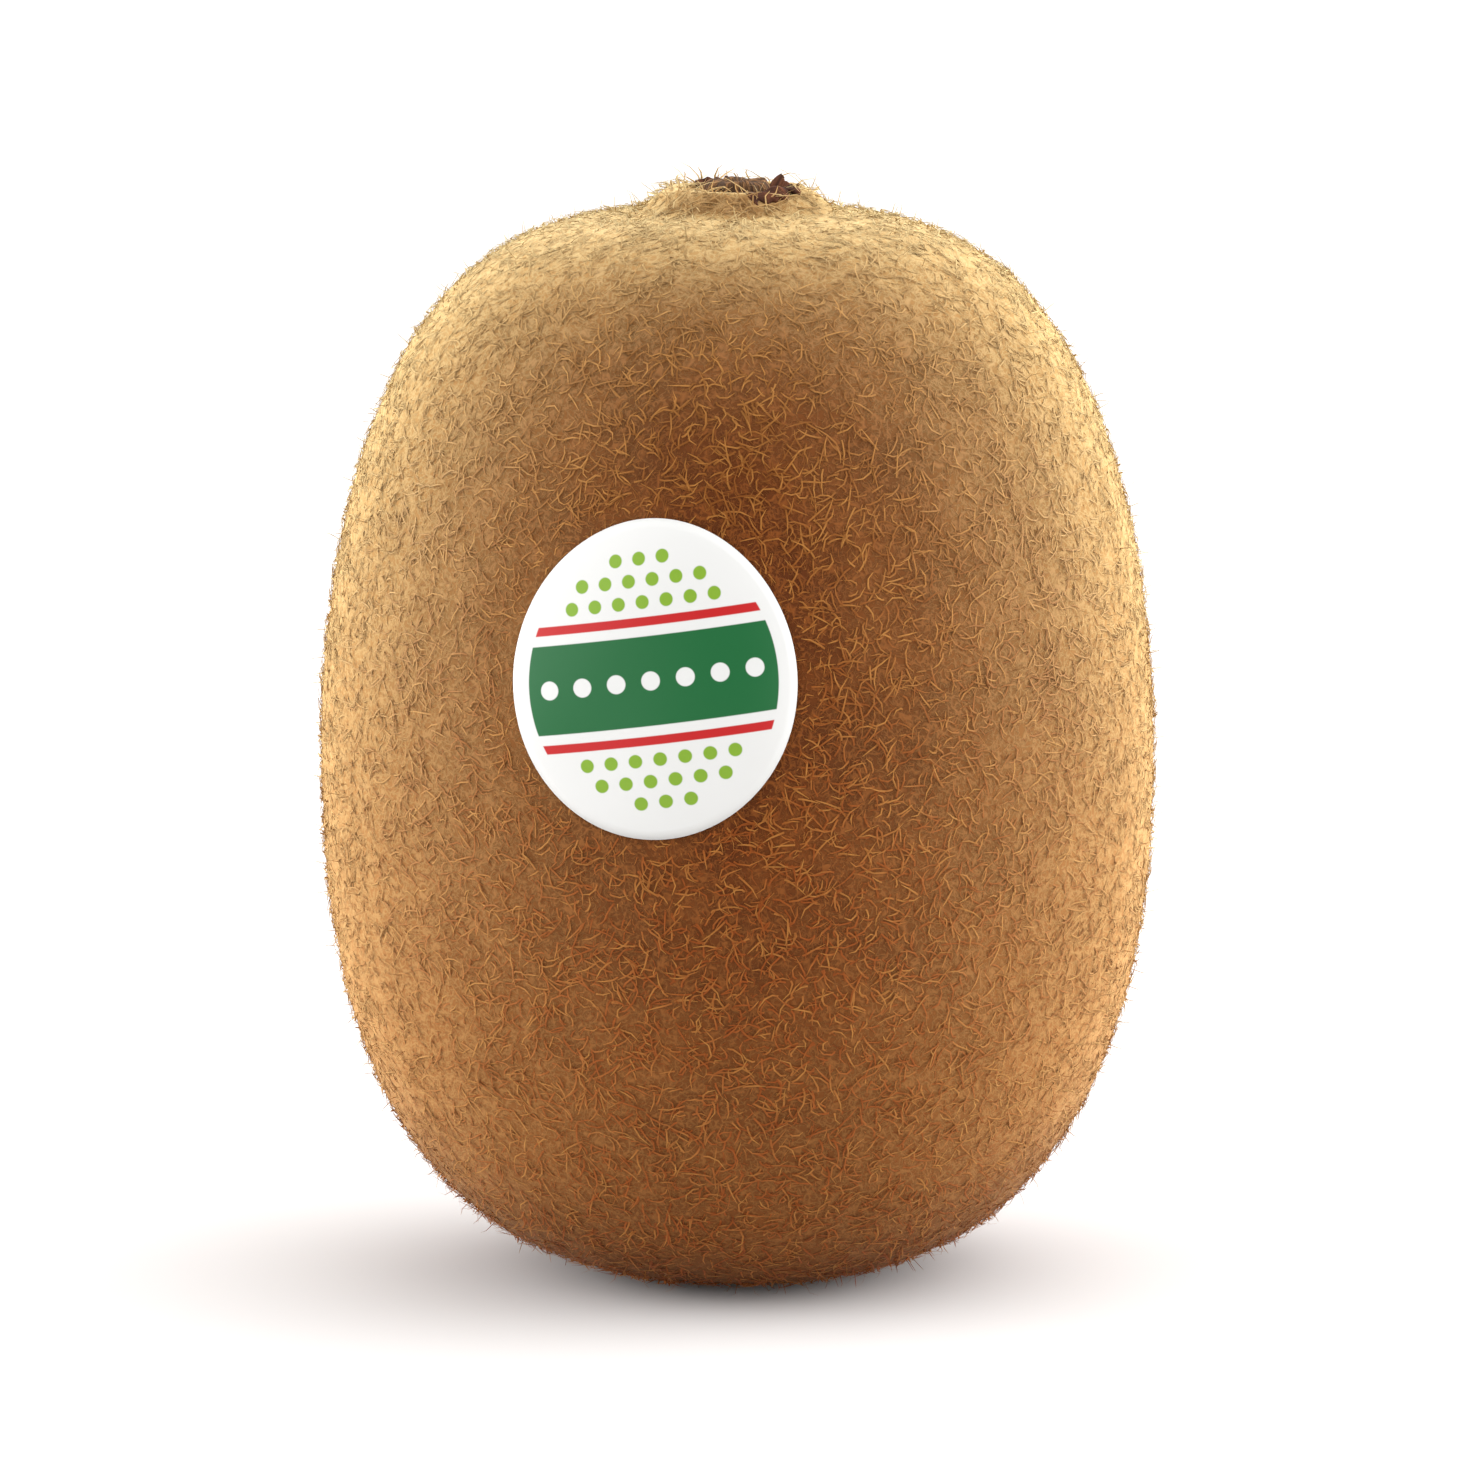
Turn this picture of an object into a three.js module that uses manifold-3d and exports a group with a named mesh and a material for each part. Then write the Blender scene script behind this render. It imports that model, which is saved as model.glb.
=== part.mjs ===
// A whole kiwi fruit that stands on its blossom end: the fruit, the woody stump of its stalk with the
// dried sepals round it, the dried styles of the flower underneath, and a round sticker.
// Millimetres, +Z up. The origin is under the middle of the fruit, on the surface that it stands on.
// The sticker faces -Y.

import * as THREE from "three";
import { mergeVertices } from "three/addons/utils/BufferGeometryUtils.js";
import Module from "manifold-3d";

// The fruit: a barrel of two power curves, one below and one above its widest level
const FRUIT_WIDTH = 51.3;
const FRUIT_DEPTH_SHARE = 0.935; // the section is a little oval, narrower from front to back
const LOWER_REACH = 32.9; // from the widest level down to where the lower curve would close
const UPPER_REACH = 32.8; // from the widest level up to where the upper curve would close
const LOWER_CURVE = { fall: 2.32, round: 2.92 };
const UPPER_CURVE = { fall: 1.93, round: 3.44 };
const REST_RADIUS = 5.4; // the small flat spot that it stands on
const HOLLOW_RADIUS = 3.8; // the blossom end's hollow, inside the flat spot
const HOLLOW_DEPTH = 1.7;

// The raised collar at the stalk end, and the recess inside it
const COLLAR_FOOT_RADIUS = 6.4;
const COLLAR_RIM_RADIUS = 3.9;
const COLLAR_HEIGHT = 1.5;
const RECESS_RADIUS = 2.6;
const RECESS_FLOOR = 0.7; // above the collar's foot

// Slow swellings of the flesh, as shares of the radius
const SWELLINGS = [
  { share: 0.004, lobes: 2, turn: 0.7, climb: 1 },
  { share: 0.0035, lobes: 3, turn: 2.1, climb: 2 },
  { share: 0.0025, lobes: 5, turn: 4.0, climb: 3 },
];

// Dried parts of the flower and the stalk
const GAP = 0.3; // between pieces that touch
const STUMP_RADIUS = 2.1;
const STUMP_HEIGHT = 0.95;
const SEPALS = 5;
const SEPAL_THICKNESS = 0.6;
const SEPAL_RING = { inner: 2.5, outer: 3.15 };
const STYLES = 16;
const STYLE_REACH = 2.6;
const STYLE_RADIUS = { root: 0.26, tip: 0.17 };
const STYLE_DISC = { radius: 1.1, thickness: 0.55 };

// The sticker
const LABEL_WIDTH = 17.2; // measured round the fruit
const LABEL_LENGTH = 18.7;
const LABEL_THICKNESS = 0.25;
const LABEL_HEIGHT = 39.9; // its middle, above the surface that the fruit stands on
const LABEL_TURN = THREE.MathUtils.degToRad(-11.4); // round the fruit, from its front

// How finely the shapes are cut
const FRUIT_SIDES = 64;
const CURVE_STEPS = 20;

const wasm = await Module();
wasm.setup();

const halfWidth = FRUIT_WIDTH / 2;
const restReach = (1 - (REST_RADIUS / halfWidth) ** LOWER_CURVE.round) ** (1 / LOWER_CURVE.fall);
const widestLevel = LOWER_REACH * restReach;
const collarFoot =
  widestLevel +
  UPPER_REACH * (1 - (COLLAR_FOOT_RADIUS / halfWidth) ** UPPER_CURVE.round) ** (1 / UPPER_CURVE.fall);

// Numbers from 0 to 1 that are the same on each run
function seededRandom(seed) {
  let state = seed;
  return () => {
    state = (state * 16807) % 2147483647;
    return state / 2147483647;
  };
}

function bodyRadius(z) {
  const above = z > widestLevel;
  const curve = above ? UPPER_CURVE : LOWER_CURVE;
  const share = Math.abs(z - widestLevel) / (above ? UPPER_REACH : LOWER_REACH);
  return halfWidth * Math.max(0, 1 - share ** curve.fall) ** (1 / curve.round);
}

// Height of the hollow's roof over the surface that the fruit stands on
function hollowRoof(radius) {
  return HOLLOW_DEPTH * Math.max(0, 1 - (radius / HOLLOW_RADIUS) ** 2);
}

// Height of the collar and its recess over the collar's foot
function crownHeight(radius) {
  if (radius >= COLLAR_RIM_RADIUS) {
    return COLLAR_HEIGHT * (1 - THREE.MathUtils.smoothstep(radius, COLLAR_RIM_RADIUS, COLLAR_FOOT_RADIUS));
  }
  const climb = THREE.MathUtils.smoothstep(radius, RECESS_RADIUS, COLLAR_RIM_RADIUS);
  return THREE.MathUtils.lerp(RECESS_FLOOR, COLLAR_HEIGHT, climb);
}

// The oval section and the slow swellings, which both fade out towards the two ends
function swell(point) {
  const level = THREE.MathUtils.clamp(point.z / collarFoot, 0, 1);
  const fade = 1 - (2 * level - 1) ** 4;
  const angle = Math.atan2(point.y, point.x);
  let share = 1;
  for (const s of SWELLINGS) {
    share += fade * s.share * Math.cos(s.lobes * angle + s.turn + s.climb * Math.PI * level);
  }
  const depth = 1 - (1 - FRUIT_DEPTH_SHARE) * fade;
  return point.set(point.x * share, point.y * share * depth, point.z);
}

function skinPoint(angle, z) {
  const radius = bodyRadius(z);
  return swell(new THREE.Vector3(radius * Math.cos(angle), radius * Math.sin(angle), z));
}

function skinNormal(angle, z) {
  const step = 0.01;
  const along = skinPoint(angle + step, z).sub(skinPoint(angle - step, z));
  const up = skinPoint(angle, z + step).sub(skinPoint(angle, z - step));
  return along.cross(up).normalize();
}

// Moves every point of a geometry by a function of its place
function reshape(geometry, move) {
  const places = geometry.getAttribute("position");
  const point = new THREE.Vector3();
  for (let i = 0; i < places.count; i++) {
    move(point.fromBufferAttribute(places, i));
    places.setXYZ(i, point.x, point.y, point.z);
  }
  return geometry;
}

function lathe(outline, sides) {
  return new THREE.LatheGeometry(outline, sides).rotateX(Math.PI / 2);
}

function solidOf(geometry) {
  const bare = geometry.clone();
  bare.deleteAttribute("normal");
  bare.deleteAttribute("uv");
  const merged = mergeVertices(bare, 1e-4);
  return new wasm.Manifold(
    new wasm.Mesh({
      numProp: 3,
      vertProperties: new Float32Array(merged.getAttribute("position").array),
      triVerts: new Uint32Array(merged.index.array),
    }),
  );
}

function geometryOf(solid) {
  const mesh = solid.getMesh();
  const geometry = new THREE.BufferGeometry();
  geometry.setAttribute("position", new THREE.BufferAttribute(mesh.vertProperties, 3));
  geometry.setIndex(new THREE.BufferAttribute(mesh.triVerts, 1));
  geometry.computeVertexNormals();
  return geometry;
}

function join(geometries) {
  return geometryOf(geometries.map(solidOf).reduce((whole, next) => whole.add(next)));
}

function named(name, geometry, color, roughness) {
  const mesh = new THREE.Mesh(geometry, new THREE.MeshStandardMaterial({ color, roughness, metalness: 0 }));
  mesh.name = name;
  return mesh;
}

// Flesh and skin in one solid, from the hollow underneath to the recess in the collar
function fruit() {
  const outline = [];
  const hollowSteps = 5;
  for (let i = 0; i <= hollowSteps; i++) {
    const radius = (HOLLOW_RADIUS * i) / hollowSteps;
    outline.push(new THREE.Vector2(radius, hollowRoof(radius)));
  }
  const start = Math.asin(restReach ** (LOWER_CURVE.fall / 2));
  for (let i = 0; i < CURVE_STEPS; i++) {
    const turn = start * (1 - i / CURVE_STEPS);
    outline.push(
      new THREE.Vector2(
        halfWidth * Math.cos(turn) ** (2 / LOWER_CURVE.round),
        widestLevel - LOWER_REACH * Math.sin(turn) ** (2 / LOWER_CURVE.fall),
      ),
    );
  }
  const end = Math.acos((COLLAR_FOOT_RADIUS / halfWidth) ** (UPPER_CURVE.round / 2));
  for (let i = 0; i < CURVE_STEPS; i++) {
    const turn = (end * i) / CURVE_STEPS;
    outline.push(
      new THREE.Vector2(
        halfWidth * Math.cos(turn) ** (2 / UPPER_CURVE.round),
        widestLevel + UPPER_REACH * Math.sin(turn) ** (2 / UPPER_CURVE.fall),
      ),
    );
  }
  const collarSteps = 10;
  for (let i = 0; i <= collarSteps; i++) {
    const radius = THREE.MathUtils.lerp(COLLAR_FOOT_RADIUS, RECESS_RADIUS, i / collarSteps);
    outline.push(new THREE.Vector2(radius, collarFoot + crownHeight(radius)));
  }
  outline.push(new THREE.Vector2(0, collarFoot + RECESS_FLOOR));
  return named("fruit", reshape(lathe(outline, FRUIT_SIDES), swell), 0x9a6a35, 0.95);
}

// The stump of the stalk: a low woody plug with a broken, ridged top and a pith hole
function stalkStump() {
  const sides = 20;
  const outline = [
    new THREE.Vector2(0, 0),
    new THREE.Vector2(STUMP_RADIUS * 0.9, 0),
    new THREE.Vector2(STUMP_RADIUS, STUMP_HEIGHT * 0.3),
    new THREE.Vector2(STUMP_RADIUS * 0.93, STUMP_HEIGHT * 0.8),
    new THREE.Vector2(STUMP_RADIUS * 0.74, STUMP_HEIGHT),
    new THREE.Vector2(STUMP_RADIUS * 0.4, STUMP_HEIGHT * 0.86),
    new THREE.Vector2(STUMP_RADIUS * 0.22, STUMP_HEIGHT * 0.6),
    new THREE.Vector2(0, STUMP_HEIGHT * 0.55),
  ];
  const brokenTop = (point) => {
    const angle = Math.atan2(point.y, point.x);
    const radius = Math.hypot(point.x, point.y);
    const height = point.z / STUMP_HEIGHT;
    point.z += 0.12 * height * radius * Math.sin(7 * angle + 1) * Math.cos(3 * angle);
  };
  const plug = reshape(lathe(outline, sides), brokenTop);
  plug.translate(0, 0, collarFoot + RECESS_FLOOR + GAP);
  return named("stalk_stump", plug, 0x6b4527, 0.9);
}

// One dried sepal, lying over the collar's rim along +X, with its foot in the ring. Its tip is torn off
// along a ragged line.
function sepal(random) {
  const length = 1.1 + 1.4 * random();
  const width = 3.1 + 0.7 * random();
  const lift = 0.25 * random();
  const curl = 0.15 * (random() - 0.3);
  const foot = SEPAL_RING.inner + 0.1;
  const strips = 8;
  const torn = Array.from({ length: strips + 1 }, () => 1 - 0.26 * random());
  const blade = new THREE.BoxGeometry(1, 1, SEPAL_THICKNESS, 5, strips, 1);
  blade.translate(0.5, 0, SEPAL_THICKNESS / 2);
  return reshape(blade, (point) => {
    const share = point.x * torn[Math.round((point.y + 0.5) * strips)];
    point.x = foot + share * length;
    point.y *= width * (0.76 + 0.24 * Math.sin(Math.PI * (0.1 + 0.8 * share)));
    const radius = Math.hypot(point.x, point.y);
    const under = radius < COLLAR_RIM_RADIUS ? crownHeight(radius) : COLLAR_HEIGHT;
    const beyond = Math.max(0, radius - COLLAR_RIM_RADIUS);
    point.z += under + lift * share * share + curl * point.y * share - 0.1 * beyond * beyond;
  });
}

// The ring of sepals round the stump, joined at their feet. Each has dried and broken in its own way.
function driedSepals() {
  const random = seededRandom(41);
  const { inner, outer } = SEPAL_RING;
  const floor = crownHeight(outer);
  const ring = lathe(
    [
      new THREE.Vector2(inner, floor),
      new THREE.Vector2(outer, floor),
      new THREE.Vector2(outer, floor + SEPAL_THICKNESS),
      new THREE.Vector2(inner, floor + SEPAL_THICKNESS),
      new THREE.Vector2(inner, floor),
    ],
    30,
  );
  const blades = [];
  for (let i = 0; i < SEPALS; i++) {
    const blade = sepal(random);
    blade.rotateZ(((i + 0.35 * (random() - 0.5)) * 2 * Math.PI) / SEPALS + 0.45);
    blades.push(blade);
  }
  const crown = join([ring, ...blades]);
  crown.translate(0, 0, collarFoot + GAP);
  return named("dried_sepals", crown, 0x5a3820, 0.9);
}

// One dried style, lying under the hollow's roof along +X with its root in the disc
function style(reach, sway) {
  const root = STYLE_DISC.radius * 0.4;
  const length = reach - root;
  const rod = new THREE.CylinderGeometry(STYLE_RADIUS.tip, STYLE_RADIUS.root, length, 5, 3);
  rod.rotateZ(-Math.PI / 2).translate(root + length / 2, 0, 0);
  return reshape(rod, (point) => {
    const share = (point.x - root) / length;
    point.y += sway * share * share;
    point.z += hollowRoof(Math.hypot(point.x, point.y)) - GAP - STYLE_RADIUS.root;
  });
}

// The flower's styles, dried to a star in the hollow of the blossom end
function driedStyles() {
  const random = seededRandom(7);
  const disc = new THREE.CylinderGeometry(STYLE_DISC.radius, STYLE_DISC.radius * 0.8, STYLE_DISC.thickness, 14);
  disc.rotateX(Math.PI / 2);
  disc.translate(0, 0, hollowRoof(STYLE_DISC.radius) - GAP - STYLE_DISC.thickness / 2);
  const rods = [];
  for (let i = 0; i < STYLES; i++) {
    const rod = style(STYLE_REACH * (0.75 + 0.25 * random()), 0.9 * (random() - 0.5));
    rods.push(rod.rotateZ(((i + 0.4 * random()) * 2 * Math.PI) / STYLES));
  }
  return named("dried_styles", join([disc, ...rods]), 0x3f2818, 0.95);
}

// The sticker: a thin, slightly oval disc that is laid round the fruit, a little clear of its skin
function label() {
  const sides = 48;
  const rings = 6;
  const outline = [];
  for (let i = 0; i <= rings; i++) {
    outline.push(new THREE.Vector2(i / rings, 0));
  }
  for (let i = rings; i >= 0; i--) {
    outline.push(new THREE.Vector2(i / rings, LABEL_THICKNESS));
  }
  const front = -Math.PI / 2 + LABEL_TURN;
  const step = 0.01;
  const bend = skinPoint(front, LABEL_HEIGHT).distanceTo(skinPoint(front + step, LABEL_HEIGHT)) / step;
  const flat = lathe(outline, sides).scale(LABEL_WIDTH / 2, LABEL_LENGTH / 2, 1);
  const laid = reshape(flat, (point) => {
    const angle = front + point.x / bend;
    const height = LABEL_HEIGHT + point.y;
    const off = GAP + point.z;
    point.copy(skinPoint(angle, height)).addScaledVector(skinNormal(angle, height), off);
  });
  return named("label", laid, 0xf2f2ef, 0.35);
}

const kiwi = new THREE.Group();
kiwi.add(fruit(), stalkStump(), driedSepals(), driedStyles(), label());

// The origin is brought under the middle of the whole
const box = new THREE.Box3().setFromObject(kiwi);
const middle = box.getCenter(new THREE.Vector3());
kiwi.position.set(-middle.x, -middle.y, 0);

export default kiwi;
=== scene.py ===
import math

import bmesh
import bpy
from mathutils import Euler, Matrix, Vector, noise
from mathutils.bvhtree import BVHTree


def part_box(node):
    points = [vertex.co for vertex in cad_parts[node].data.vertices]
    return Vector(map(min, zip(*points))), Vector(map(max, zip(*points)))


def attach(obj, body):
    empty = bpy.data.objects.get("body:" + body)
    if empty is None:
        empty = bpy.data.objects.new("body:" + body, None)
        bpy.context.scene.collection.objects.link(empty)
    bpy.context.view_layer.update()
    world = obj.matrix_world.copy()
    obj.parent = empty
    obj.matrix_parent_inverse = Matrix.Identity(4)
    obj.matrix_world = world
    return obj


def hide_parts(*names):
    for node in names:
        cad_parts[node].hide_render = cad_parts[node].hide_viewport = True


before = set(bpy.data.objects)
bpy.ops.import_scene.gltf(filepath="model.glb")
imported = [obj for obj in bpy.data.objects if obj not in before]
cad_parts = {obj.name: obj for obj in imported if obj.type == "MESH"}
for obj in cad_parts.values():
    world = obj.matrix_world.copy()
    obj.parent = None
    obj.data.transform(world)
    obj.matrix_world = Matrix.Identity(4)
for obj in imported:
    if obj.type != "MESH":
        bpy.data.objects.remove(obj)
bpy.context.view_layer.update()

# The photographer's table: a camera with a long lens, a little above the fruit and as far off as
# such a picture is taken from, over a wide white sheet that runs out of the picture on every side.
MM = 0.001
CAMERA_DISTANCE = 510 * MM
CAMERA_RISE = math.radians(9)
CAMERA_AIM = Vector((0, 0, 33.0 * MM))
LENS = 202.6
SENSOR = 36
CLIP = {"start": 0.01, "end": 20}
SHEET_REACH = 4.0
SHEET_WHITE = (0.585, 0.575, 0.57, 1)

camera_data = bpy.data.cameras.new("camera")
camera_data.lens = LENS
camera_data.sensor_width = SENSOR
camera_data.clip_start = CLIP["start"]
camera_data.clip_end = CLIP["end"]
camera = bpy.data.objects.new("camera", camera_data)
bpy.context.scene.collection.objects.link(camera)
towards_camera = Vector((0, -math.cos(CAMERA_RISE), math.sin(CAMERA_RISE)))
camera.location = CAMERA_AIM + towards_camera * CAMERA_DISTANCE
camera.rotation_euler = Euler((math.pi / 2 - CAMERA_RISE, 0, 0))
bpy.context.scene.camera = camera
bpy.context.scene.view_settings.view_transform = "Standard"

sheet_mesh = bpy.data.meshes.new("floor")
corners = [(-1, -1), (1, -1), (1, 1), (-1, 1)]
sheet_mesh.from_pydata([(x * SHEET_REACH, y * SHEET_REACH, 0) for x, y in corners], [], [(0, 1, 2, 3)])
floor = bpy.data.objects.new("floor", sheet_mesh)
bpy.context.scene.collection.objects.link(floor)
sheet_white = bpy.data.materials.new("white sheet")
sheet_white.use_nodes = True
sheet = sheet_white.node_tree.nodes["Principled BSDF"]
sheet.inputs["Base Color"].default_value = SHEET_WHITE
sheet.inputs["Roughness"].default_value = 1
sheet.inputs["Specular IOR Level"].default_value = 0
sheet_mesh.materials.append(sheet_white)

# The light: a white tent all round, dim behind the camera, that glows from the back, the top and
# both sides, and a low soft box on each side of the fruit. A glow's reach is the cosine of the
# angle at which it fades out. The camera itself sees plain white past the sheet's edge.
SOFT_BOXES = (
    {"name": "left box", "from": (-0.42, 0.10, 0.08), "size": (0.40, 0.20), "watts": 1.9},
    {"name": "right box", "from": (0.42, 0.10, 0.08), "size": (0.40, 0.20), "watts": 1.8},
)
TENT_WHITE = (1, 1, 1, 1)
TENT_SEEN = 1.0
TENT_EVEN = 0.22
TENT_GLOWS = (
    {"from": (0.0, 0.99, -0.16), "reach": 0.0, "strength": 0.4},
    {"from": (-1.0, 0.0, 0.0), "reach": 0.2, "strength": 1.1},
    {"from": (1.0, 0.0, 0.0), "reach": 0.2, "strength": 1.05},
    {"from": (0.0, 0.0, 1.0), "reach": 0.3, "strength": 0.15},
    {"from": (-0.5, 0.4, 0.75), "reach": 0.5, "strength": 0.5},
    {"from": (0.5, 0.4, 0.75), "reach": 0.5, "strength": 1.95},
    {"from": (-0.6, -0.4, 0.7), "reach": 0.5, "strength": 0.32},
    {"from": (0.6, -0.4, 0.7), "reach": 0.5, "strength": 0.65},
    {"from": (-0.85, -0.45, 0.15), "reach": 0.5, "strength": 1.75},
    {"from": (0.85, -0.45, 0.15), "reach": 0.5, "strength": 1.55},
)

for box in SOFT_BOXES:
    lamp = bpy.data.lights.new(box["name"], "AREA")
    lamp.shape = "RECTANGLE"
    lamp.size, lamp.size_y = box["size"]
    lamp.energy = box["watts"]
    soft_box = bpy.data.objects.new(box["name"], lamp)
    soft_box.location = box["from"]
    away = Vector(box["from"]) - CAMERA_AIM
    soft_box.rotation_euler = away.to_track_quat("Z", "Y").to_euler()
    bpy.context.scene.collection.objects.link(soft_box)


class Wire:
    """An outlet in a node tree. Arithmetic on it adds the Math nodes that work it out."""

    def __init__(self, tree, socket=None):
        self.tree = tree
        self.socket = socket

    def node(self, kind, settings=None, values=None, outlet=0):
        """Adds a node, its settings first, then the numbers or wires on its sockets."""
        made = self.tree.nodes.new(kind)
        for name, setting in (settings or {}).items():
            setattr(made, name, setting)
        for name, value in (values or {}).items():
            if isinstance(value, Wire):
                self.tree.links.new(value.socket, made.inputs[name])
            else:
                made.inputs[name].default_value = value
        return Wire(self.tree, made.outputs[outlet]) if made.outputs else made

    def maths(self, operation, *terms, outlet=0):
        """A Math node, or a Vector Math node where one of the terms is a vector."""
        wires = [term for term in terms if isinstance(term, Wire)]
        if any(wire.socket.type in ("VECTOR", "RGBA") for wire in wires):
            kind = "ShaderNodeVectorMath"
            terms = [(t, t, t) if isinstance(t, (int, float)) else t for t in terms]
        else:
            kind = "ShaderNodeMath"
        return self.node(kind, {"operation": operation}, dict(enumerate(terms)), outlet)

    def __add__(self, other):
        return self.maths("ADD", self, other)

    __radd__ = __add__

    def __sub__(self, other):
        return self.maths("SUBTRACT", self, other)

    def __rsub__(self, other):
        return self.maths("SUBTRACT", other, self)

    def __mul__(self, other):
        return self.maths("MULTIPLY", self, other)

    __rmul__ = __mul__

    def __truediv__(self, other):
        return self.maths("DIVIDE", self, other)

    def __gt__(self, other):
        return self.maths("GREATER_THAN", self, other)

    def __lt__(self, other):
        return self.maths("LESS_THAN", self, other)

    def __abs__(self):
        return self.maths("ABSOLUTE", self)

    def length(self):
        return self.maths("LENGTH", self, outlet="Value")

    def part(self, axis):
        """The X, Y or Z of a vector."""
        return self.node("ShaderNodeSeparateXYZ", values={0: self}, outlet=axis)

    def ramp(self, low, high, to_low=0.0, to_high=1.0):
        """Goes smoothly from to_low to to_high while this goes from low to high."""
        values = {0: self, 1: low, 2: high, 3: to_low, 4: to_high}
        return self.node("ShaderNodeMapRange", {"interpolation_type": "SMOOTHSTEP"}, values)

    def blend(self, first, second):
        """The first colour where this is 0, the second where it is 1."""
        return self.node("ShaderNodeMix", {"data_type": "RGBA"}, {0: self, 6: first, 7: second}, 2)

    def noise(self, grain, detail=2.0, distortion=0.0, outlet=0):
        """Noise whose lumps are about as wide as the grain, in metres."""
        values = {"Vector": self, "Scale": 1 / grain, "Detail": detail, "Distortion": distortion}
        return self.node("ShaderNodeTexNoise", {}, values, outlet)


tent = bpy.data.worlds.new("tent")
tent.use_nodes = True
tent.node_tree.nodes.clear()
sky = Wire(tent.node_tree)
away = sky.node("ShaderNodeTexCoord", outlet="Generated")
strength = TENT_EVEN
for light in TENT_GLOWS:
    towards = tuple(Vector(light["from"]).normalized())
    cosine = away.maths("DOT_PRODUCT", away, towards, outlet="Value")
    strength = cosine.ramp(light["reach"], 1.0, 0.0, light["strength"]) + strength
glow = sky.node("ShaderNodeBackground", values={"Color": TENT_WHITE, "Strength": strength})
plain = sky.node("ShaderNodeBackground", values={"Color": TENT_WHITE, "Strength": TENT_SEEN})
seen = sky.node("ShaderNodeLightPath", outlet="Is Camera Ray")
shown = sky.node("ShaderNodeMixShader", values={0: seen, 1: glow, 2: plain})
sky.node("ShaderNodeOutputWorld", values={"Surface": shown})
bpy.context.scene.world = tent

# The fruit: one oval berry in a thin, tough brown skin, which is dimpled and finely wrinkled under
# its hairs. The mesh is the solid's own, made finer and given that relief.
SAME_CORNER = 0.001 * MM
SQUARE_BEND = math.radians(50)
SKIN_FINENESS = 1
DIMPLES = {"grain": 3.5 * MM, "depth": 0.16 * MM}
WRINKLES = {"grain": 0.8 * MM, "depth": 0.09 * MM}
SKIN_DARK = (0.072, 0.0165, 0.0027, 1)
SKIN_MIDDLE = (0.108, 0.027, 0.0043, 1)
SKIN_PALE = (0.180, 0.050, 0.0085, 1)
SKIN_PATCHES = {"grain": 5 * MM, "low": 0.35, "high": 0.65}
FELT_GRAINS = (0.9 * MM, 0.6 * MM, 0.42 * MM)
FELT_SHIFT = 0.1
FELT_LINE = 0.055
FELT_SHARE = 0.75
FELT_BUMP = {"Distance": 0.12 * MM, "Strength": 0.8}
# Painted sheen: pale colours mixed into the fuzz where the eye looks along the skin, standing in for
# the light that the hairs catch. The deep and middle ones go on darker hairs and on the skin between
# its threads, the low and high ones on paler hairs and threads, each from the blossom end up to the
# top.
PAINTED_SHEEN_DEEP = (0.42, 0.150, 0.033, 1)
PAINTED_SHEEN_LOW = (0.56, 0.315, 0.105, 1)
PAINTED_SHEEN_MIDDLE = (0.47, 0.265, 0.078, 1)
PAINTED_SHEEN_HIGH = (0.65, 0.51, 0.240, 1)
# Painted shade: near the blossom end the painted sheen is cut to this share, so the underside reads
# darker
PAINTED_UNDERSIDE_SHADE = {"reach": 16 * MM, "share": 0.12}
RIM_ROUGHNESS = 0.9
RIM_SHEEN = 0.25
RIM_TINT = (1, 0.90, 0.66, 1)
FRUIT_HEIGHT = 66.9 * MM


def copied(node):
    """The mesh of a node of the frame, with its shared corners merged and its squares whole."""
    shape = bmesh.new()
    shape.from_mesh(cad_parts[node].data)
    bmesh.ops.remove_doubles(shape, verts=shape.verts, dist=SAME_CORNER)
    bmesh.ops.join_triangles(
        shape, faces=shape.faces, angle_face_threshold=SQUARE_BEND, angle_shape_threshold=math.pi
    )
    mesh = bpy.data.meshes.new(node)
    shape.to_mesh(mesh)
    shape.free()
    mesh.materials.clear()
    return mesh


def new_tree(name, inputs):
    """An empty geometry tree with named inputs, each a type and a value, and one outlet."""
    tree = bpy.data.node_groups.new(name, "GeometryNodeTree")
    tree.interface.new_socket("Base", in_out="INPUT", socket_type="NodeSocketGeometry")
    for label, (kind, value) in inputs.items():
        socket = tree.interface.new_socket(label, in_out="INPUT", socket_type="NodeSocket" + kind)
        if value is not None:
            socket.default_value = value
    tree.interface.new_socket("Grown", in_out="OUTPUT", socket_type="NodeSocketGeometry")
    given = tree.nodes.new("NodeGroupInput")
    return tree, {socket.name: Wire(tree, socket) for socket in given.outputs if socket.name}


def grown(name, mesh, tree, sizes):
    """A piece that a geometry tree makes from a mesh, kept as a plain mesh."""
    piece = bpy.data.objects.new(name, mesh)
    bpy.context.scene.collection.objects.link(piece)
    modifier = piece.modifiers.new(name, "NODES")
    modifier.node_group = tree
    for item in tree.interface.items_tree:
        if item.in_out == "INPUT" and item.name in sizes:
            modifier[item.identifier] = sizes[item.name]
    graph = bpy.context.evaluated_depsgraph_get()
    result = bpy.data.meshes.new_from_object(piece.evaluated_get(graph))
    piece.modifiers.clear()
    piece.data = result
    return piece


relief_tree, given = new_tree(
    "Relief",
    {
        "Fineness": ("Int", 2),
        "Dimple grain": ("Float", 0.004),
        "Dimple depth": ("Float", 0.0),
        "Wrinkle grain": ("Float", 0.001),
        "Wrinkle depth": ("Float", 0.0),
        "Material": ("Material", None),
    },
)
start = given["Base"]
fine = start.node("GeometryNodeSubdivisionSurface", values={0: start, 1: given["Fineness"]})
place = start.node("GeometryNodeInputPosition")
outwards = start.node("GeometryNodeInputNormal")
relief = 0.0
for ridge in ("Dimple", "Wrinkle"):
    lump = place / given[ridge + " grain"]
    relief = (lump.noise(1.0) - 0.5) * given[ridge + " depth"] * 2 + relief
moved = start.node("GeometryNodeSetPosition", values={0: fine, "Offset": outwards * relief})
lowest = (-1, -1, 0)
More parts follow.
